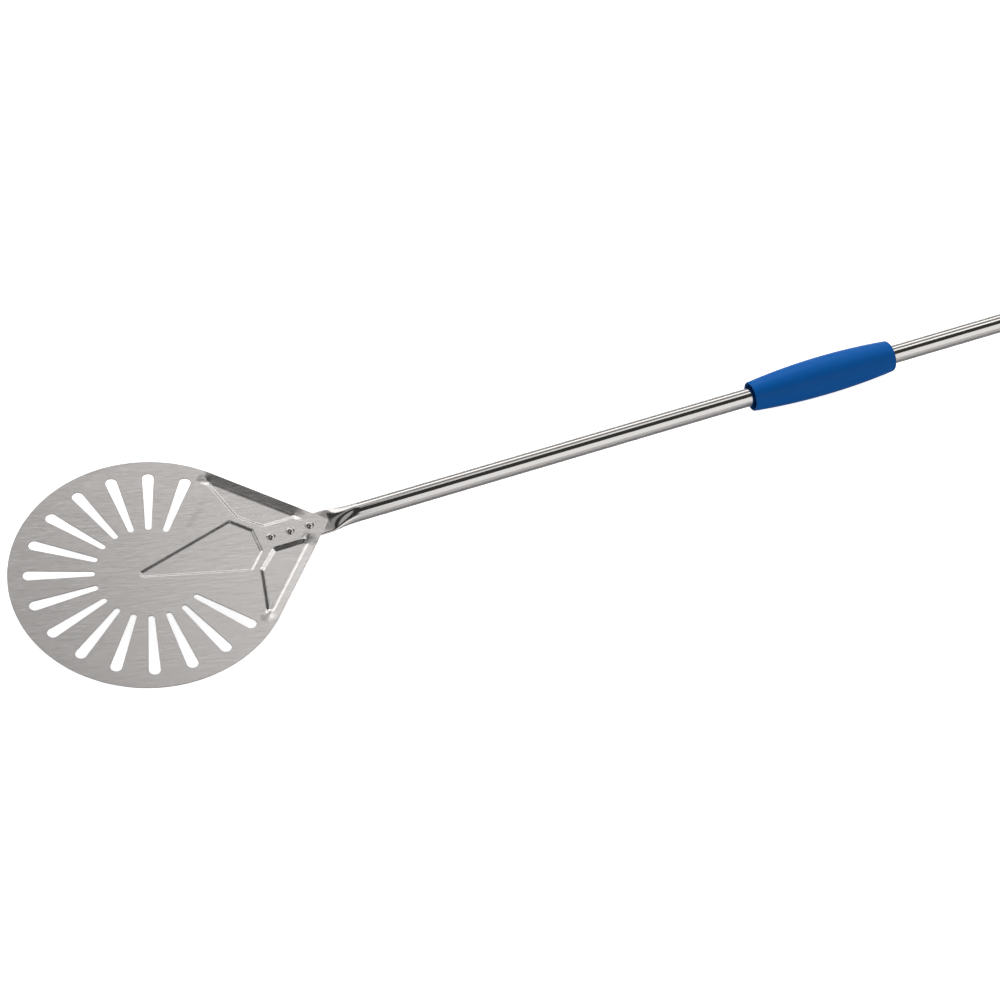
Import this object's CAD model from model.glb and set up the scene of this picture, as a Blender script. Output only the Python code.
from math import acos, asin, atan2, cos, hypot, pi, radians, sin, sqrt, tan

import bmesh
import bpy
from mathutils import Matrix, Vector


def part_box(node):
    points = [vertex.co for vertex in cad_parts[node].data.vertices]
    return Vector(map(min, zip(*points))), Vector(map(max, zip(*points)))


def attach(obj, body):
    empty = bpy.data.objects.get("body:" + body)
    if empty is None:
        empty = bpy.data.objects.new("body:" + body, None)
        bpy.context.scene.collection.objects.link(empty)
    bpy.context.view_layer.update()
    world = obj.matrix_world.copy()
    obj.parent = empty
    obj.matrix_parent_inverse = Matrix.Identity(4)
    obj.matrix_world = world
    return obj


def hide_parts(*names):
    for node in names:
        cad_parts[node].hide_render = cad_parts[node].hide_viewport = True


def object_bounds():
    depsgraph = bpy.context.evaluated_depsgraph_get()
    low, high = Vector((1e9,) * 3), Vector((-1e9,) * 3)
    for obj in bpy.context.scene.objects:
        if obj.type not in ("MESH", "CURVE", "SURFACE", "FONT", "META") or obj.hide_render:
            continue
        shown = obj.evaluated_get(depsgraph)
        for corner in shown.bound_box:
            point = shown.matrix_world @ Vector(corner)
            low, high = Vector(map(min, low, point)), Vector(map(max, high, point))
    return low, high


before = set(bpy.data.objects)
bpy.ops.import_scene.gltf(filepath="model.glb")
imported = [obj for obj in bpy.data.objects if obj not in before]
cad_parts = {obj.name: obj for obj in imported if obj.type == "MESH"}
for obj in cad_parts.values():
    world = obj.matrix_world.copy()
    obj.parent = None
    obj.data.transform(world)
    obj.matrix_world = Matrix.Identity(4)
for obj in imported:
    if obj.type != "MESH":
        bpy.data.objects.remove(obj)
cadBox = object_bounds()
mm = 0.001
samePlace = 0.0001 * mm        # points this near each other are at one place
mergeGap = 0.002 * mm        # points this near each other are merged
cutGap = 0.001 * mm        # points this near a cut are on it

headLow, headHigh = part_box("head_plate")
tubeLow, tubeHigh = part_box("handle_tube")
bushLow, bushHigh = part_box("guide_bush")
gripLow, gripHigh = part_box("sliding_grip")
endLow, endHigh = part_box("end_grip")
headRadius = -headLow.x
neckTip = headHigh.x
tubeRadius = (tubeHigh.z - tubeLow.z) / 2
tubeHeight = (tubeHigh.z + tubeLow.z) / 2        # the tube's axis
print("frame loaded, head radius", round(headRadius / mm, 1), "mm")
print("tube radius", round(tubeRadius / mm, 2), "mm")


# working in edit mode
def deselectAll():
    if bpy.context.object and bpy.context.object.mode != "OBJECT":
        bpy.ops.object.mode_set(mode="OBJECT")
    bpy.ops.object.select_all(action="DESELECT")


def activate(piece):
    deselectAll()
    bpy.context.view_layer.objects.active = piece
    piece.select_set(True)


def startEdit(piece):
    activate(piece)
    bpy.ops.object.mode_set(mode="EDIT")
    bpy.ops.mesh.select_mode(type="VERT")
    bpy.ops.mesh.select_all(action="SELECT")


def pick(piece, kind, test):        # selects only the verts, edges or faces that pass the test
    bpy.ops.mesh.select_all(action="DESELECT")
    bpy.ops.mesh.select_mode(type={"verts": "VERT", "edges": "EDGE", "faces": "FACE"}[kind])
    shape = bmesh.from_edit_mesh(piece.data)
    for part in getattr(shape, kind):
        part.select_set(test(part))
    shape.select_flush_mode()
    bmesh.update_edit_mesh(piece.data)


def endEdit():
    bpy.ops.object.mode_set(mode="OBJECT")


def useModifier(piece, kind, **settings):
    activate(piece)
    modifier = piece.modifiers.new(kind.lower(), kind)
    for name, value in settings.items():
        setattr(modifier, name, value)
    bpy.ops.object.modifier_apply(modifier=modifier.name)


def smoothShade(piece, angle=35):
    activate(piece)
    bpy.ops.object.shade_smooth_by_angle(angle=radians(angle))


def joinPieces(pieces):        # the first one keeps its name
    deselectAll()
    for piece in pieces:
        piece.select_set(True)
    bpy.context.view_layer.objects.active = pieces[0]
    bpy.ops.object.join()


def placeDown(piece):        # puts a primitive's place and turn into its mesh
    activate(piece)
    bpy.ops.object.transform_apply(location=True, rotation=True, scale=True)


def outlinePiece(name, points, fill="NOTHING"):        # a circle whose points are moved onto an outline
    deselectAll()
    bpy.ops.mesh.primitive_circle_add(vertices=len(points), fill_type=fill)
    piece = bpy.context.object
    piece.name = piece.data.name = name
    for corner, point in zip(piece.data.vertices, points):
        corner.co = point
    piece.data.update()
    return piece


def arcPoints(centre, radius, start, end, steps):
    turns = [radians(start + (end - start) * i / steps) for i in range(steps + 1)]
    return [(centre[0] + radius * cos(turn), centre[1] + radius * sin(turn)) for turn in turns]


def bulgePoints(start, end, heights, steps):        # an arc, by its height at the start, halfway and the end
    half = (end - start) / 2
    rise, fall = heights[1] - heights[0], heights[1] - heights[2]
    drop = (2 * half**2 + rise**2 + fall**2) / (rise + fall) / 2        # halfway point to centre
    shift = (2 * rise * drop - half**2 - rise**2) / half / 2
    radius = hypot(shift, drop)
    places = [start + (end - start) * i / steps for i in range(steps + 1)]
    return [(x, heights[1] - drop + sqrt(radius**2 - (x - start - half - shift) ** 2)) for x in places]


def roundedOutline(corners, steps, grow=0.0):        # corners are (x, y, radius) or plain (x, y)
    points = []
    for i, corner in enumerate(corners):
        here = Vector(corner[:2])
        if len(corner) == 2:
            points.append(here)
            continue
        radius = corner[2]
        back = (Vector(corners[i - 1][:2]) - here).normalized()
        ahead = (Vector(corners[(i + 1) % len(corners)][:2]) - here).normalized()
        half = acos(back.dot(ahead)) / 2
        middle = here + (back + ahead).normalized() * (radius / sin(half))
        first = here + back * (radius / tan(half)) - middle
        last = here + ahead * (radius / tan(half)) - middle
        start = atan2(first.y, first.x)
        turn = (atan2(last.y, last.x) - start + pi) % (2 * pi) - pi
        for step in range(steps + 1):
            angle = start + turn * step / steps
            points.append(middle + Vector((cos(angle), sin(angle))) * (radius + grow))
    return points


def isNear(v, places):
    return any((v.co - place).length < samePlace for place in places)


def spunPiece(name, points, centre, axis, steps, closed=True):        # points are turned round the axis
    piece = outlinePiece(name, points)
    startEdit(piece)
    if not closed:        # the edge along the axis goes
        ends = [Vector(points[0]), Vector(points[-1])]
        pick(piece, "edges", lambda edge: all(isNear(v, ends) for v in edge.verts))
        bpy.ops.mesh.delete(type="EDGE")
        bpy.ops.mesh.select_mode(type="VERT")
        bpy.ops.mesh.select_all(action="SELECT")
    bpy.ops.mesh.spin(steps=steps, angle=2 * pi, center=centre, axis=axis)
    bpy.ops.mesh.select_all(action="SELECT")
    bpy.ops.mesh.remove_doubles(threshold=mergeGap)
    bpy.ops.mesh.normals_make_consistent(inside=False)
    endEdit()
    return piece


def smoothStep(share):
    share = min(max(share, 0.0), 1.0)
    return share * share * (3 - 2 * share)


# materials
def newMaterial(name, colour, metallic, roughness):
    material = bpy.data.materials.new(name)
    material.use_nodes = True
    nodes = material.node_tree.nodes
    shader = nodes["Principled BSDF"]
    shader.inputs["Base Color"].default_value = (*colour, 1)
    shader.inputs["Metallic"].default_value = metallic
    shader.inputs["Roughness"].default_value = roughness
    return material, nodes, material.node_tree.links, shader


def newNode(nodes, kind, **values):
    node = nodes.new(kind)
    for name, value in values.items():
        if hasattr(node, name):
            setattr(node, name, value)
        else:
            node.inputs[name.replace("_", " ")].default_value = value
    return node


noiseRoughness = 0.6
noiseSpread = 0.25        # how far the noise strays from its middle value, 0.5


def noiseAt(nodes, links, size, turn=0.0, detail=3.0):        # noise whose grains have this size
    place = newNode(nodes, "ShaderNodeTexCoord")
    mapping = newNode(nodes, "ShaderNodeMapping", vector_type="TEXTURE")
    mapping.inputs["Scale"].default_value = size
    mapping.inputs["Rotation"].default_value = (0, 0, radians(turn))
    noise = newNode(nodes, "ShaderNodeTexNoise", Scale=1.0, Detail=detail, Roughness=noiseRoughness)
    links.new(place.outputs["Object"], mapping.inputs["Vector"])
    links.new(mapping.outputs["Vector"], noise.inputs["Vector"])
    return noise.outputs["Fac"]


def between(nodes, links, source, low, high):        # noise stretched to run from low to high
    span = newNode(nodes, "ShaderNodeMapRange")
    span.inputs["From Min"].default_value = 0.5 - noiseSpread
    span.inputs["From Max"].default_value = 0.5 + noiseSpread
    span.inputs["To Min"].default_value = low
    span.inputs["To Max"].default_value = high
    links.new(source, span.inputs["Value"])
    return span.outputs["Result"]


def summed(nodes, links, sources):
    total = sources[0]
    for source in sources[1:]:
        node = newNode(nodes, "ShaderNodeMath", operation="ADD")
        links.new(total, node.inputs[0])
        links.new(source, node.inputs[1])
        total = node.outputs["Value"]
    return total


def tinted(nodes, links, colour, amount):        # the colour, lighter or darker by the amount
    mix = newNode(nodes, "ShaderNodeVectorMath", operation="SCALE")
    mix.inputs[0].default_value = colour
    links.new(amount, mix.inputs["Scale"])
    return mix.outputs["Vector"]


def bumped(nodes, links, shader, height, distance, strength):
    bump = newNode(nodes, "ShaderNodeBump", Strength=strength, Distance=distance)
    links.new(height, bump.inputs["Height"])
    links.new(bump.outputs["Normal"], shader.inputs["Normal"])


# each pattern has the size of its marks, and how much light or roughness they give, from least to most
steel = dict(
    colour=(0.76, 0.742, 0.735),
    roughness=(0.19, 0.26),
    anisotropic=0.6,
    grainTurn=-13.0,        # degrees from the handle's line
    hairline=(6 * mm, 0.8 * mm, 3 * mm),
    hairlineLight=(0.23, 0.43),
    streak=(22 * mm, 2.0 * mm, 6 * mm),
    streakLight=(0.25, 0.41),
    cloud=(50 * mm, 14 * mm, 30 * mm),
    cloudLight=(0.29, 0.37),
    cloudRoughness=(-0.02, 0.03),
    bump=(0.01 * mm, 0.35),        # depth and strength
)
tubeSteel = dict(
    colour=(0.64, 0.625, 0.615),
    roughness=(0.085, 0.13),
    line=(160 * mm, 0.7 * mm, 0.7 * mm),
    hairline=(30 * mm, 0.2 * mm, 0.2 * mm),
    cloud=(90 * mm, 5 * mm, 5 * mm),
    light=(0.48, 0.51),
    bump=(0.01 * mm, 0.25),
)
rivetSteel = dict(
    colour=(0.60, 0.585, 0.575),
    roughness=(0.10, 0.20),
    spot=(0.5 * mm, 0.5 * mm, 0.5 * mm),
    light=(0.94, 1.04),
    bump=(0.01 * mm, 0.3),
)
bluePlastic = dict(
    colour=(0.003, 0.106, 0.40),
    roughness=(0.34, 0.42),
    shine=0.08,
    grain=(0.35 * mm, 0.35 * mm, 0.35 * mm),
    grainLight=(0.48, 0.53),
    flow=(24 * mm, 5 * mm, 5 * mm),
    flowLight=(0.46, 0.52),
    scuff=(9 * mm, 0.25 * mm, 0.25 * mm),
    scuffRoughness=(-0.03, 0.03),
    bump=(0.05 * mm, 0.25),
)
blackPlastic = dict(
    colour=(0.018, 0.018, 0.02),
    roughness=(0.40, 0.52),
    grain=(0.3 * mm, 0.3 * mm, 0.3 * mm),
    light=(0.9, 1.1),
    bump=(0.04 * mm, 0.3),
)


def makeBrushedSteel():
    look = steel
    material, nodes, links, shader = newMaterial("brushedSteel", look["colour"], 1.0, look["roughness"][0])
    hairline = noiseAt(nodes, links, look["hairline"], look["grainTurn"], 2.0)
    streak = noiseAt(nodes, links, look["streak"], look["grainTurn"])
    cloud = noiseAt(nodes, links, look["cloud"], look["grainTurn"])
    light = summed(nodes, links, [
        between(nodes, links, hairline, *look["hairlineLight"]),
        between(nodes, links, streak, *look["streakLight"]),
        between(nodes, links, cloud, *look["cloudLight"]),
    ])
    links.new(tinted(nodes, links, look["colour"], light), shader.inputs["Base Color"])
    matt = summed(nodes, links, [
        between(nodes, links, hairline, *look["roughness"]),
        between(nodes, links, cloud, *look["cloudRoughness"]),
    ])
    links.new(matt, shader.inputs["Roughness"])
    shader.inputs["Anisotropic"].default_value = look["anisotropic"]
    shader.inputs["Anisotropic Rotation"].default_value = 0.25        # rough across the brushing
    tangent = newNode(nodes, "ShaderNodeTangent", direction_type="UV_MAP", uv_map="grain")
    links.new(tangent.outputs["Tangent"], shader.inputs["Tangent"])
    bumped(nodes, links, shader, hairline, *look["bump"])
    return material


def makeTubeSteel():
    look = tubeSteel
    material, nodes, links, shader = newMaterial("polishedTube", look["colour"], 1.0, look["roughness"][0])
    line = noiseAt(nodes, links, look["line"])
    hairline = noiseAt(nodes, links, look["hairline"], 0.0, 2.0)
    cloud = noiseAt(nodes, links, look["cloud"])
    light = summed(nodes, links, [
        between(nodes, links, line, *look["light"]),
        between(nodes, links, cloud, *look["light"]),
    ])
    links.new(tinted(nodes, links, look["colour"], light), shader.inputs["Base Color"])
    links.new(between(nodes, links, hairline, *look["roughness"]), shader.inputs["Roughness"])
    bumped(nodes, links, shader, line, *look["bump"])
    return material


def makeRivetSteel():
    look = rivetSteel
    material, nodes, links, shader = newMaterial("rivetSteel", look["colour"], 1.0, look["roughness"][0])
    spot = noiseAt(nodes, links, look["spot"])
    light = between(nodes, links, spot, *look["light"])
    links.new(tinted(nodes, links, look["colour"], light), shader.inputs["Base Color"])
    links.new(between(nodes, links, spot, *look["roughness"]), shader.inputs["Roughness"])
    bumped(nodes, links, shader, spot, *look["bump"])
    return material


def makeBluePlastic():
    look = bluePlastic
    material, nodes, links, shader = newMaterial("bluePlastic", look["colour"], 0.0, look["roughness"][0])
    grain = noiseAt(nodes, links, look["grain"], 0.0, 4.0)
    flow = noiseAt(nodes, links, look["flow"])
    scuff = noiseAt(nodes, links, look["scuff"], 0.0, 2.0)
    light = summed(nodes, links, [
        between(nodes, links, flow, *look["flowLight"]),
        between(nodes, links, grain, *look["grainLight"]),
    ])
    links.new(tinted(nodes, links, look["colour"], light), shader.inputs["Base Color"])
    matt = summed(nodes, links, [
        between(nodes, links, grain, *look["roughness"]),
        between(nodes, links, scuff, *look["scuffRoughness"]),
    ])
    links.new(matt, shader.inputs["Roughness"])
    shader.inputs["Specular IOR Level"].default_value = look["shine"]
    bumped(nodes, links, shader, grain, *look["bump"])
    return material


def makeBlackPlastic():
    look = blackPlastic
    material, nodes, links, shader = newMaterial("blackPlastic", look["colour"], 0.0, look["roughness"][0])
    grain = noiseAt(nodes, links, look["grain"], 0.0, 4.0)
    light = between(nodes, links, grain, *look["light"])
    links.new(tinted(nodes, links, look["colour"], light), shader.inputs["Base Color"])
    links.new(between(nodes, links, grain, *look["roughness"]), shader.inputs["Roughness"])
    bumped(nodes, links, shader, grain, *look["bump"])
    return material


brushed = makeBrushedSteel()
polished = makeTubeSteel()
riveted = makeRivetSteel()
blue = makeBluePlastic()
black = makeBlackPlastic()
print("materials made")


def finishPiece(piece, material, body, slot, *nodes):
    piece.data.materials.clear()
    piece.data.materials.append(material)
    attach(piece, body)
    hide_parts(*nodes)
    print(piece.name, "done,", len(piece.data.polygons), "faces")


# head plate
head = dict(
    sides=720,
    sheet=1.0 * mm,
    tipRadius=1.8 * mm,
    slots=15,
    slotPitch=18.24,        # degrees
    slotStart=43.7 * mm,
    slotRim=12.8 * mm,        # from the slots to the head's edge
    slotInner=5.0 * mm,
    slotOuter=9.4 * mm,
    slotSides=48,
    rivetHole=4.0 * mm,
    holeSides=32,
    tipMerge=0.2 * mm,        # merges the neck's tip, whose points crowd together when it shrinks
    ring=0.45 * mm,        # narrow band of faces round every outline
    wallSlope=32.0,
    bend=2.0 * mm,
    kiteDepth=1.2 * mm,
    sideDepth=2.0 * mm,
    stripDip=1.5 * mm,        # how far the strips beside the side panels fall towards them
    stripFade=12 * mm,
    stripOver=7 * mm,
    cornerSteps=10,
    cutStep=2.0 * mm,
    cutsAlong=9,
    cutStart=-100 * mm,
    cutsAcross=30,
    cutsFrom=40 * mm,        # the sheet isn't cut behind this
    panelCorners=10,        # only a panel's face has more corners than this
    edgeRound=0.12 * mm,
    edgeAngle=60,
    smoothAngle=40,
    grainScale=10,
)
rivetNames = ("rivet_front", "rivet_middle", "rivet_rear")
rivetPlaces = [(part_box(name)[0].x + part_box(name)[1].x) / 2 for name in rivetNames]
tipCentre = neckTip - head["tipRadius"]
neckTurn = acos((headRadius - head["tipRadius"]) / tipCentre)        # where the neck's edges leave the head
kiteEnd = tubeLow.x - 3.8 * mm
edgeInset = 8.0 * mm        # from the side panels to the neck's edges
kiteCorners = [
    (-13.5 * mm, 0, 2.4 * mm),
    (kiteEnd - 14.2 * mm, -26.5 * mm, 2.0 * mm),
    (kiteEnd, -11.5 * mm, 2.0 * mm),
    (kiteEnd, 11.5 * mm, 2.0 * mm),
    (kiteEnd - 14.2 * mm, 26.5 * mm, 2.0 * mm),
]


def edgeLineX(y):        # on the line inside the neck's edge, parallel to it
    return (headRadius - edgeInset - y * sin(neckTurn)) / cos(neckTurn)


def edgeLineY(x):
    return (headRadius - edgeInset - x * cos(neckTurn)) / sin(neckTurn)


sideFront = kiteEnd - 17.9 * mm
channelHalf = (tubeHigh.y - tubeLow.y) / 2 + 1.0 * mm
sideCorners = [
    (sideFront, edgeLineY(sideFront), 2.2 * mm),
    (kiteEnd - 6.6 * mm, 29.5 * mm, 2.2 * mm),
    (kiteEnd + 10.4 * mm, channelHalf, 2.2 * mm),
    (edgeLineX(channelHalf), channelHalf, 2.2 * mm),
]


def edgeDistance(point, side):        # how far inside the neck's edge on that side
    return headRadius - point.x * cos(neckTurn) - side * point.y * sin(neckTurn)


def stripDip(point):
    look = head
    side = 1 if point.y > 0 else -1
    inside = edgeDistance(point, side)
    along = side * point.y * cos(neckTurn) - point.x * sin(neckTurn)
    first = sideCorners[3][1] * cos(neckTurn) - sideCorners[3][0] * sin(neckTurn)
    last = sideCorners[0][1] * cos(neckTurn) - sideCorners[0][0] * sin(neckTurn)
    ends = smoothStep((along - first + look["stripOver"]) / look["stripFade"])
    ends *= smoothStep((last + look["stripOver"] - along) / look["stripFade"])
    share = min(inside / edgeInset, 1.0) * (1 - smoothStep((inside - edgeInset) / look["stripFade"] * 2))
    return look["stripDip"] * ends * max(share, 0.0) * (1 - min(abs(point.z) / look["sideDepth"], 1.0))


def wallSteps(depth, bend, slope, pieces=4):        # (inwards, down) steps down an S-shaped wall
    turns = [radians(slope) * i / pieces for i in range(pieces + 1)]
    half = [(bend * sin(turn), bend * (1 - cos(turn))) for turn in turns]
    width = 2 * half[-1][0] + (depth - 2 * half[-1][1]) / tan(radians(slope))
    places = half + [(width - x, depth - y) for x, y in reversed(half)]
    return [(b[0] - a[0], b[1] - a[1]) for a, b in zip(places, places[1:])], width


def isPanel(face, beside):        # the kite, or one of the panels beside the tube
    aside = abs(face.calc_center_median().y) > channelHalf
    return len(face.verts) > head["panelCorners"] and aside == beside


def isByEdge(face, side):        # a face of the sheet that reaches the cuts beside the neck's edge
    reach = head["cutStep"] * head["cutsAlong"]
    near = any(edgeDistance(v.co, side) < reach and v.co.x > head["cutsFrom"] for v in face.verts)
    return near and len(face.verts) < head["panelCorners"]


def makeHeadPlate():
    look = head
    deselectAll()
    bpy.ops.mesh.primitive_circle_add(vertices=look["sides"], radius=headRadius)
    plate = bpy.context.object
    plate.name = plate.data.name = "headPlate"
    startEdit(plate)        # the front of the circle shrinks to the tip of the neck
    pick(plate, "verts", lambda v: v.co.x > headRadius * cos(neckTurn))
    shrink = look["tipRadius"] / headRadius
    bpy.ops.transform.resize(value=(shrink, shrink, 1), center_override=(0, 0, 0))
    bpy.ops.transform.translate(value=(tipCentre, 0, 0))
    bpy.ops.mesh.remove_doubles(threshold=look["tipMerge"])
    endEdit()
    parts = [plate]
    inner, outer = look["slotInner"] / 2, look["slotOuter"] / 2
    slotFrom, slotTo = look["slotStart"] + inner, headRadius - look["slotRim"] - outer
    for i in range(look["slots"]):
        turn = radians(180 + look["slotPitch"] * (i - (look["slots"] - 1) / 2))
        deselectAll()
        place = (slotFrom, 0, 0)
        bpy.ops.mesh.primitive_circle_add(vertices=look["slotSides"], radius=inner, location=place)
        slot = bpy.context.object
        placeDown(slot)
        startEdit(slot)        # the outer half grows and moves out
        pick(slot, "verts", lambda v: v.co.x > slotFrom - cutGap)
        bpy.ops.transform.resize(value=(outer / inner,) * 3, center_override=(slotFrom, 0, 0))
        bpy.ops.transform.translate(value=(slotTo - slotFrom, 0, 0))
        endEdit()
        slot.rotation_euler.z = turn
        placeDown(slot)
        parts.append(slot)
    for x in rivetPlaces:
        deselectAll()
        radius = look["rivetHole"] / 2
        bpy.ops.mesh.primitive_circle_add(vertices=look["holeSides"], radius=radius, location=(x, 0, 0))
        placeDown(bpy.context.object)
        parts.append(bpy.context.object)
    joinPieces(parts)
    panels = []
    for corners, depth in ((kiteCorners, look["kiteDepth"]), (sideCorners, look["sideDepth"])):
        steps, width = wallSteps(depth, look["bend"], look["wallSlope"])
        points = [(x, y, 0) for x, y in roundedOutline(corners, look["cornerSteps"], width / 2)]
        panels.append((points, steps))
    loops = [panels[0][0], panels[1][0], [(x, -y, 0) for x, y, z in panels[1][0]]]
    joinPieces([plate] + [outlinePiece("loop", points) for points in loops])
    startEdit(plate)
    bpy.ops.mesh.select_mode(type="EDGE")
    bpy.ops.mesh.select_all(action="SELECT")
    bpy.ops.mesh.fill(use_beauty=True)
    endEdit()
    joinPieces([plate] + [outlinePiece("panel", points, "NGON") for points in loops])
    startEdit(plate)
    bpy.ops.mesh.remove_doubles(threshold=mergeGap)
    pick(plate, "faces", lambda face: face.normal.z < 0)
    bpy.ops.mesh.flip_normals()
    pick(plate, "faces", lambda face: len(face.verts) < look["panelCorners"])
    bpy.ops.mesh.inset(thickness=look["ring"], depth=0, use_even_offset=True)
    for beside, (points, steps) in zip((False, True), panels):        # the panels go down in small steps
        pick(plate, "faces", lambda face: isPanel(face, beside))
        for inwards, down in steps:
            bpy.ops.mesh.inset(thickness=inwards, depth=-down, use_even_offset=True)
    for side in (1, -1):        # cuts along and across the neck's two edges
        edgeNormal = Vector((cos(neckTurn), side * sin(neckTurn), 0))
        edgeLine = Vector((-sin(neckTurn), side * cos(neckTurn), 0))
        cuts = [(edgeNormal, headRadius - look["cutStep"] * i) for i in range(1, look["cutsAlong"])]
        cuts += [(edgeLine, look["cutStart"] + 2 * look["cutStep"] * i) for i in range(look["cutsAcross"])]
        for direction, place in cuts:
            pick(plate, "faces", lambda face: isByEdge(face, side))
            bpy.ops.mesh.bisect(plane_co=direction * place, plane_no=direction, threshold=cutGap)
    endEdit()
    for v in plate.data.vertices:        # the strips beside the side panels fall towards them
        v.co.z -= stripDip(v.co)
    useModifier(plate, "SOLIDIFY", thickness=look["sheet"], offset=-1, use_even_offset=True)
    smoothShade(plate, look["smoothAngle"])
    useModifier(plate, "BEVEL", width=look["edgeRound"], segments=2, limit_method="ANGLE",
                angle_limit=radians(look["edgeAngle"]), harden_normals=True, use_clamp_overlap=False)
    useModifier(plate, "WEIGHTED_NORMAL", keep_sharp=True)
    grain = plate.data.uv_layers.new(name="grain")        # for the direction of the brushing
    turn = radians(steel["grainTurn"])
    for loop in plate.data.loops:
        x, y, z = plate.data.vertices[loop.vertex_index].co * look["grainScale"]
        grain.data[loop.index].uv = (x * cos(turn) + y * sin(turn), y * cos(turn) - x * sin(turn))
    return plate


finishPiece(makeHeadPlate(), brushed, "peel", "head_steel", "head_plate")

# tube
tube = dict(
    sides=96,
    wall=0.96 * mm,
    flatHeight=2.0 * mm,
    flatMargin=0.6 * mm,        # the tube starts to open this far past the neck's tip
    opening=27.0 * mm,
    openingRate=1.5,        # how steeply it opens at first
    cuts=40,
    flatCuts=4,
    flatEase=0.001,        # below this, the section has straight lines at its top and bottom
    smoothAngle=40,
)


def ovalPoints(height, ease, count):        # evenly spaced round four tangent arcs, the first at +across
    isFlat = ease <= tube["flatEase"]
    width = height + pi / 2 * (2 * tubeRadius - height)
    joint = radians(90 - 45 * ease)        # where the side's arc meets the top's
    difference = 0 if isFlat else (width - height) / 2 / (cos(joint) + sin(joint) - 1)
    narrow = height / 2 if isFlat else width / 2 - difference * cos(joint)
    wide = narrow + difference
    flat = width / 2 - narrow
    side = narrow * joint
    top = flat if isFlat else wide * (pi / 2 - joint)

    def quarter(distance):        # from the side, up to the top
        if distance <= side:
            turn = distance / narrow
            return flat + narrow * cos(turn), narrow * sin(turn)
        if isFlat:
            return flat - (distance - side), height / 2
        turn = joint + (distance - side) / wide
        return wide * cos(turn), height / 2 - wide + wide * sin(turn)

    points = []
    for i in range(count):
        share = 4 * i / count
        part = int(share)
        distance = (share - part) * (side + top)
        across, up = quarter(distance if part % 2 == 0 else side + top - distance)
        points.append((across if part in (0, 3) else -across, up if part < 2 else -up))
    return points


def makeTube():
    look = tube
    start, end = tubeLow.x, tubeHigh.x
    flatEnd = neckTip + look["flatMargin"]
    deselectAll()
    bpy.ops.mesh.primitive_cylinder_add(
        vertices=look["sides"], radius=tubeRadius, depth=end - start, end_fill_type="NOTHING",
        location=((start + end) / 2, 0, tubeHeight), rotation=(0, pi / 2, 0))
    piece = bpy.context.object
    piece.name = piece.data.name = "handleTube"
    placeDown(piece)
    startEdit(piece)
    places = [start + (flatEnd - start) * i / look["flatCuts"] for i in range(1, look["flatCuts"])]
    places += [flatEnd + look["opening"] * i / look["cuts"] for i in range(look["cuts"] + 1)]
    for x in places:
        bpy.ops.mesh.select_all(action="SELECT")
        bpy.ops.mesh.bisect(plane_co=(x, 0, 0), plane_no=(1, 0, 0), threshold=cutGap)
    endEdit()
    for v in piece.data.vertices:        # flattened as far as the neck's tip, then opening out
        share = (v.co.x - flatEnd) / look["opening"]
        if share >= 1:
            continue
        ease = smoothStep(share) + look["openingRate"] * max(share, 0) * (1 - share) ** 2
        height = look["flatHeight"] + (2 * tubeRadius - look["flatHeight"]) * ease
        turn = atan2(v.co.z - tubeHeight, v.co.y) / (2 * pi) % 1
        across, up = ovalPoints(height, ease, look["sides"])[round(turn * look["sides"]) % look["sides"]]
        v.co.y, v.co.z = across, tubeHeight + up
    useModifier(piece, "SOLIDIFY", thickness=look["wall"], offset=-1, use_even_offset=True)
    smoothShade(piece, look["smoothAngle"])
    return piece


finishPiece(makeTube(), polished, "peel", "tube_steel", "handle_tube")

# rivets
rivet = dict(
    sides=40,
    rise=2.1 * mm,
    rim=0.25 * mm,
    shank=2.0 * mm,
    tailRadius=3.3 * mm,
    tailRound=0.6 * mm,
    domeSteps=9,
    tailSteps=5,
)


def makeRivet():        # the front one, which the others are copies of
    look = rivet
    low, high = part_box("rivet_front")
    radius = (high.x - low.x) / 2
    seat = tubeHeight - tube["flatHeight"] / 2        # under the flattened tube
    domeRadius = (radius**2 + look["rise"] ** 2) / 2 / look["rise"]
    span = asin(radius / domeRadius)
    turns = [span * i / look["domeSteps"] for i in range(look["domeSteps"])]
    profile = [(domeRadius * sin(turn), look["rise"] - domeRadius * (1 - cos(turn))) for turn in turns]
    profile += [(radius - look["rim"] / 2, look["rim"]), (radius, look["rim"] / 2), (radius, 0)]
    profile += [(look["shank"], 0), (look["shank"], seat), (look["tailRadius"], seat)]
    centre = (look["tailRadius"] - look["tailRound"], low.z + look["tailRound"])
    profile += arcPoints(centre, look["tailRound"], 0, -90, look["tailSteps"]) + [(0, low.z)]
    x = rivetPlaces[0]
    points = [(x + r, 0, z) for r, z in profile]
    piece = spunPiece("rivetFront", points, (x, 0, 0), (0, 0, 1), look["sides"], closed=False)
    smoothShade(piece)
    return piece


def copyRivet(first, name, place):
    piece = first.copy()
    piece.data = first.data.copy()
    piece.name = piece.data.name = name
    bpy.context.scene.collection.objects.link(piece)
    startEdit(piece)
    bpy.ops.transform.translate(value=(place - rivetPlaces[0], 0, 0))
    endEdit()
    return piece


rivetFront = makeRivet()
finishPiece(rivetFront, riveted, "peel", "rivet_steel", rivetNames[0])
for name, node, place in zip(("rivetMiddle", "rivetRear"), rivetNames[1:], rivetPlaces[1:]):
    finishPiece(copyRivet(rivetFront, name, place), riveted, "peel", "rivet_steel", node)

# guide bush
bush = dict(
    sides=96,
    bore=8.3 * mm,
    wall=1.9 * mm,
    ridgeStart=4.0 * mm,
    ridgeLength=3.0 * mm,
    chamfer=0.4 * mm,
    smoothAngle=30,
)


def onTube(points):        # (along, out from the tube's axis) as points in the frame
    return [(x, 0, tubeHeight + r) for x, r in points]


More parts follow.
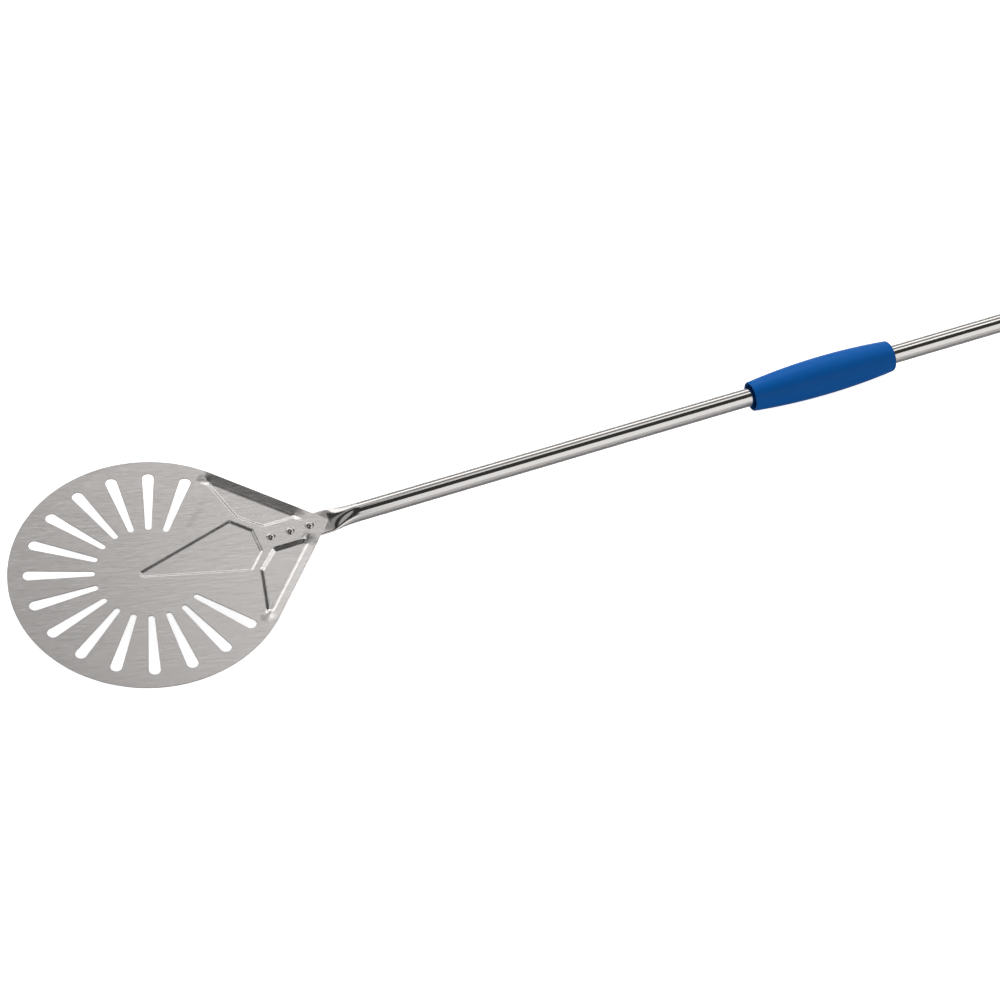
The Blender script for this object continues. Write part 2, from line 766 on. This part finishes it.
def makeBush():
    look = bush
    start, end = bushLow.x, bushHigh.x
    ridge = (bushHigh.z - bushLow.z) / 2
    outer, cut = look["bore"] + look["wall"], look["chamfer"]
    first, last = start + look["ridgeStart"], start + look["ridgeStart"] + look["ridgeLength"]
    profile = [
        (start, look["bore"] + cut), (start, outer - cut), (start + cut, outer),
        (first, outer), (first, ridge - cut), (first + cut, ridge),
        (last - cut, ridge), (last, ridge - cut), (last, outer),
        (end - cut, outer), (end, outer - cut), (end, look["bore"] + cut),
        (end - cut, look["bore"]), (start + cut, look["bore"]),
    ]
    piece = spunPiece("guideBush", onTube(profile), (0, 0, tubeHeight), (1, 0, 0), look["sides"])
    smoothShade(piece, look["smoothAngle"])
    return piece


finishPiece(makeBush(), black, "guide", "bush_plastic", "guide_bush")

# sliding grip
grip = dict(
    sides=128,
    swell=4.15 * mm,
    rearGain=0.7 * mm,        # the rear end's radius over the front end's
    mouth=11.2 * mm,
    lip=1.5 * mm,
    mouthDepth=15.0 * mm,
    seat=10.5 * mm,
    groove=11.7 * mm,
    bore=8.3 * mm,
    rearWall=8.0 * mm,
    lipRound=0.7 * mm,
    rearRound=2.6 * mm,
    boreRound=0.3 * mm,
    gap=0.3 * mm,        # from the bush's ridge to its groove's ends
    barrelSteps=36,
    roundSteps=6,
    smoothAngle=30,
)


def makeGrip():
    look = grip
    start, end = gripLow.x, gripHigh.x
    frontRadius = look["mouth"] + look["lip"]
    rearRadius = frontRadius + look["rearGain"]
    inside, wall = start + look["mouthDepth"], end - look["rearWall"]
    grooveStart = inside + bush["ridgeStart"] - look["gap"]
    grooveEnd = grooveStart + bush["ridgeLength"] + 2 * look["gap"]
    heights = (frontRadius, frontRadius + look["swell"], rearRadius)
    barrel = bulgePoints(start, end, heights, look["barrelSteps"])
    corners = [(start, frontRadius, look["lipRound"])] + barrel[1:-1] + [
        (end, rearRadius, look["rearRound"]), (end, look["bore"], look["boreRound"]),
        (wall, look["bore"]), (wall, look["seat"]),
        (grooveEnd, look["seat"]), (grooveEnd, look["groove"]),
        (grooveStart, look["groove"]), (grooveStart, look["seat"]),
        (inside, look["seat"]), (inside, look["mouth"]), (start, look["mouth"], look["lipRound"]),
    ]
    profile = [tuple(point) for point in roundedOutline(corners, look["roundSteps"])]
    piece = spunPiece("slidingGrip", onTube(profile), (0, 0, tubeHeight), (1, 0, 0), look["sides"])
    smoothShade(piece, look["smoothAngle"])
    return piece


finishPiece(makeGrip(), blue, "grip", "grip_plastic", "sliding_grip")

# end grip
endGrip = dict(
    sides=128,
    swell=3.0 * mm,
    frontRound=1.5 * mm,
    tailRound=6.0 * mm,
    socketRound=0.4 * mm,
    flatHeight=8.5 * mm,        # from the axis to the flats beside the hanging hole
    flatLength=30.0 * mm,
    holeRadius=5.0 * mm,
    holeSides=48,
    holeInset=16.0 * mm,
    holeRound=1.0 * mm,
    rimGap=0.01 * mm,        # points this near the hole's wall are on its rims
    cutterWidth=60 * mm,
    cutterHeight=20 * mm,
    barrelSteps=36,
    roundSteps=8,
)


def cutAway(piece, cutter):
    useModifier(piece, "BOOLEAN", object=cutter, operation="DIFFERENCE", solver="EXACT")
    bpy.data.objects.remove(cutter)


def isHoleRim(edge, hole):        # along the hole's upper or lower rim
    ends = [abs(hypot(v.co.x - hole, v.co.y) - endGrip["holeRadius"]) for v in edge.verts]
    return max(ends) < endGrip["rimGap"] and abs(edge.verts[0].co.z - edge.verts[1].co.z) < cutGap


def makeEndGrip():
    look = endGrip
    start, end = endLow.x, endHigh.x
    endRadius = (endHigh.y - endLow.y) / 2 - look["swell"]
    barrel = bulgePoints(start, end, (endRadius, endRadius + look["swell"], endRadius), look["barrelSteps"])
    corners = [(start, endRadius, look["frontRound"])] + barrel[1:-2] + [
        (end, endRadius, look["tailRound"]), (end, 0), (tubeHigh.x, 0), (tubeHigh.x, tubeRadius),
        (start, tubeRadius, look["socketRound"]),
    ]
    profile = [tuple(point) for point in roundedOutline(corners, look["roundSteps"])]
    first = min(range(len(profile)), key=lambda i: hypot(profile[i][0] - tubeHigh.x, profile[i][1]))
    profile = profile[first:] + profile[:first]        # from the socket's end round to the tail
    centre = (0, 0, tubeHeight)
    piece = spunPiece("endGrip", onTube(profile), centre, (1, 0, 0), look["sides"], closed=False)
    hole = end - look["holeInset"]
    for side in (1, -1):
        deselectAll()
        bpy.ops.mesh.primitive_cube_add(size=1)
        cutter = bpy.context.object
        cutter.scale = (look["flatLength"] * 2, look["cutterWidth"], look["cutterHeight"])
        cutter.location = (end, 0, tubeHeight + side * (look["flatHeight"] + look["cutterHeight"] / 2))
        placeDown(cutter)
        cutAway(piece, cutter)
    deselectAll()
    bpy.ops.mesh.primitive_cylinder_add(
        vertices=look["holeSides"], radius=look["holeRadius"], depth=look["cutterWidth"],
        location=(hole, 0, tubeHeight))
    placeDown(bpy.context.object)
    cutAway(piece, bpy.context.object)
    startEdit(piece)
    pick(piece, "edges", lambda edge: isHoleRim(edge, hole))
    bpy.ops.mesh.bevel(offset=look["holeRound"], segments=4, affect="EDGES")
    endEdit()
    smoothShade(piece)
    return piece


finishPiece(makeEndGrip(), blue, "peel", "grip_plastic", "end_grip")

# floor, light and camera
studio = dict(
    floorSize=60,
    floorDrop=0.4 * mm,        # under the object's lowest point
    floorShade=0.78,
    floorRoughness=0.9,
    floorGlow=0.85,
    boxColour=(1, 0.985, 0.97, 1),
    room=0.045,
    fills=dict(        # they light what is matt, and show in no metal
        backFill=dict(place=(0.6, 3.8, 3.2), size=(5, 3), radiance=6.2),
        frontFill=dict(place=(0.6, -4.0, 2.3), size=(5, 3), radiance=2.1),
    ),
)
# each softbox fills these angles round the handle, from the front over the top, at this reach, and runs
# along the handle between its ends, with a glow that changes from one of its places to the other
softboxes = dict(
    front=dict(angles=(-12, 52), reach=3.0, places=(-0.5, 4.5), glow=(1.15, 1.15), ends=(0.95, 2.9)),
    frontLeft=dict(angles=(-12, 52), reach=3.0, places=(-9.0, -1.5), glow=(0.55, 0.55), ends=(-10.0, -1.5)),
    frontRight=dict(angles=(-12, 52), reach=3.0, places=(2.9, 9.0), glow=(0.55, 0.55), ends=(2.9, 10.0)),
    right=dict(angles=(52, 99), reach=3.4, places=(3.0, 8.0), glow=(1.2, 1.2), ends=(3.3, 8.0)),
    above=dict(angles=(60, 99), reach=3.4, places=(-1.3, 0.1), glow=(0.50, 0.50), ends=(-1.3, 0.12)),
    left=dict(angles=(60, 120), reach=3.4, places=(-14.0, -3.4), glow=(0.55, 0.55), ends=(-14.0, -3.4)),
    top=dict(angles=(96, 114), reach=3.4, places=(1.0, 3.0), glow=(0.85, 2.1), ends=(1.08, 5.0)),
    near=dict(angles=(116, 125.5), reach=3.5, places=(0.45, 1.05), glow=(0.38, 1.28), ends=(-2.4, 1.12)),
    far=dict(angles=(125.5, 139), reach=3.5, places=(0.45, 1.05), glow=(0.40, 0.62), ends=(-0.5, 1.12)),
    dip=dict(angles=(116, 139), reach=3.5, places=(1.1, 5.0), glow=(0.28, 0.28), ends=(1.12, 5.0)),
    back=dict(angles=(139, 163), reach=3.6, places=(0.4, 1.1), glow=(1.6, 1.75), ends=(-2.4, 5.0)),
    backLow=dict(angles=(163, 178), reach=3.6, places=(-2.4, 1.0), glow=(1.1, 1.1), ends=(-2.4, 1.05)),
    backLeft=dict(angles=(132, 163), reach=3.6, places=(-12.0, -2.4), glow=(0.65, 0.65), ends=(-12.0, -2.4)),
)
cameraPlace = dict(
    location=(-0.6202, -1.7610, 2.5003),
    turn=(37.9277, -3.8100, -23.1155),
    lens=136.958,
    sensor=36,
    clip=(0.05, 100),
)


def makeFloor():
    deselectAll()
    height = cadBox[0].z - studio["floorDrop"]
    bpy.ops.mesh.primitive_plane_add(size=studio["floorSize"], location=(0, 0, height))
    floor = bpy.context.object
    floor.name = floor.data.name = "floor"
    shade = (studio["floorShade"],) * 3
    material, nodes, links, shader = newMaterial("paleFloor", shade, 0.0, studio["floorRoughness"])
    shader.inputs["Specular IOR Level"].default_value = 0.0
    glow = newNode(nodes, "ShaderNodeEmission", Strength=studio["floorGlow"])
    both = newNode(nodes, "ShaderNodeAddShader")
    choose = newNode(nodes, "ShaderNodeMixShader")
    path = newNode(nodes, "ShaderNodeLightPath")
    output = nodes["Material Output"]
    links.new(shader.outputs["BSDF"], both.inputs[0])
    links.new(glow.outputs["Emission"], both.inputs[1])
    links.new(path.outputs["Is Camera Ray"], choose.inputs["Fac"])
    links.new(shader.outputs["BSDF"], choose.inputs[1])
    links.new(both.outputs["Shader"], choose.inputs[2])
    seeThrough = newNode(nodes, "ShaderNodeBsdfTransparent")
    sides = newNode(nodes, "ShaderNodeMixShader")
    links.new(newNode(nodes, "ShaderNodeNewGeometry").outputs["Backfacing"], sides.inputs["Fac"])
    links.new(choose.outputs["Shader"], sides.inputs[1])
    links.new(seeThrough.outputs["BSDF"], sides.inputs[2])
    links.new(sides.outputs["Shader"], output.inputs["Surface"])
    floor.data.materials.append(material)


def makeWorld():
    world = bpy.data.worlds.new("studio")
    bpy.context.scene.world = world
    world.use_nodes = True
    nodes, links = world.node_tree.nodes, world.node_tree.links
    room = nodes["Background"]
    room.inputs["Color"].default_value = (1, 0.99, 0.98, 1)
    room.inputs["Strength"].default_value = studio["room"]
    white = newNode(nodes, "ShaderNodeBackground", Strength=1.0)
    white.inputs["Color"].default_value = (1, 1, 1, 1)
    choose = newNode(nodes, "ShaderNodeMixShader")
    links.new(newNode(nodes, "ShaderNodeLightPath").outputs["Is Camera Ray"], choose.inputs["Fac"])
    links.new(room.outputs["Background"], choose.inputs[1])
    links.new(white.outputs["Background"], choose.inputs[2])
    links.new(choose.outputs["Shader"], nodes["World Output"].inputs["Surface"])


def makeSoftbox(name, look):
    low, high = [radians(a) for a in look["angles"]]
    turn, reach, (first, last) = (low + high) / 2, look["reach"], look["ends"]
    deselectAll()
    middle = ((first + last) / 2, -reach * cos(turn), reach * sin(turn))
    bpy.ops.mesh.primitive_plane_add(size=1, location=middle)
    box = bpy.context.object
    box.name = box.data.name = name + "Softbox"
    box.scale = (last - first, 2 * reach * tan((high - low) / 2), 1)
    box.rotation_euler.x = pi / 2 - turn
    placeDown(box)
    material = bpy.data.materials.new(box.name)
    material.use_nodes = True
    nodes, links = material.node_tree.nodes, material.node_tree.links
    nodes.remove(nodes["Principled BSDF"])
    place = newNode(nodes, "ShaderNodeTexCoord")
    along = newNode(nodes, "ShaderNodeSeparateXYZ")
    span = newNode(nodes, "ShaderNodeMapRange")
    glow = newNode(nodes, "ShaderNodeEmission", Color=studio["boxColour"])
    sockets = ("From Min", "From Max", "To Min", "To Max")
    for socket, value in zip(sockets, (*look["places"], *look["glow"])):
        span.inputs[socket].default_value = value
    links.new(place.outputs["Object"], along.inputs["Vector"])
    links.new(along.outputs["X"], span.inputs["Value"])
    links.new(span.outputs["Result"], glow.inputs["Strength"])
    links.new(glow.outputs["Emission"], nodes["Material Output"].inputs["Surface"])
    box.data.materials.append(material)
    box.visible_camera = box.visible_diffuse = box.visible_shadow = False


def makeFill(name, look):
    light = bpy.data.lights.new(name, "AREA")
    light.shape = "RECTANGLE"
    light.size, light.size_y = look["size"]
    light.energy = look["radiance"] * pi * light.size * light.size_y
    lamp = bpy.data.objects.new(name, light)
    bpy.context.scene.collection.objects.link(lamp)
    lamp.location = look["place"]
    lamp.rotation_euler = (-Vector(look["place"])).to_track_quat("-Z", "Y").to_euler()
    lamp.visible_camera = lamp.visible_glossy = False


def makeCamera():
    camera = bpy.data.objects.new("camera", bpy.data.cameras.new("camera"))
    bpy.context.scene.collection.objects.link(camera)
    camera.data.sensor_width = cameraPlace["sensor"]
    camera.data.lens = cameraPlace["lens"]
    camera.data.clip_start, camera.data.clip_end = cameraPlace["clip"]
    camera.location = cameraPlace["location"]
    camera.rotation_euler = [radians(a) for a in cameraPlace["turn"]]
    bpy.context.scene.camera = camera


makeFloor()
makeWorld()
for name, look in softboxes.items():
    makeSoftbox(name, look)
for name, look in studio["fills"].items():
    makeFill(name, look)
makeCamera()
bpy.context.scene.view_settings.view_transform = "Standard"
print("floor, light and camera placed")
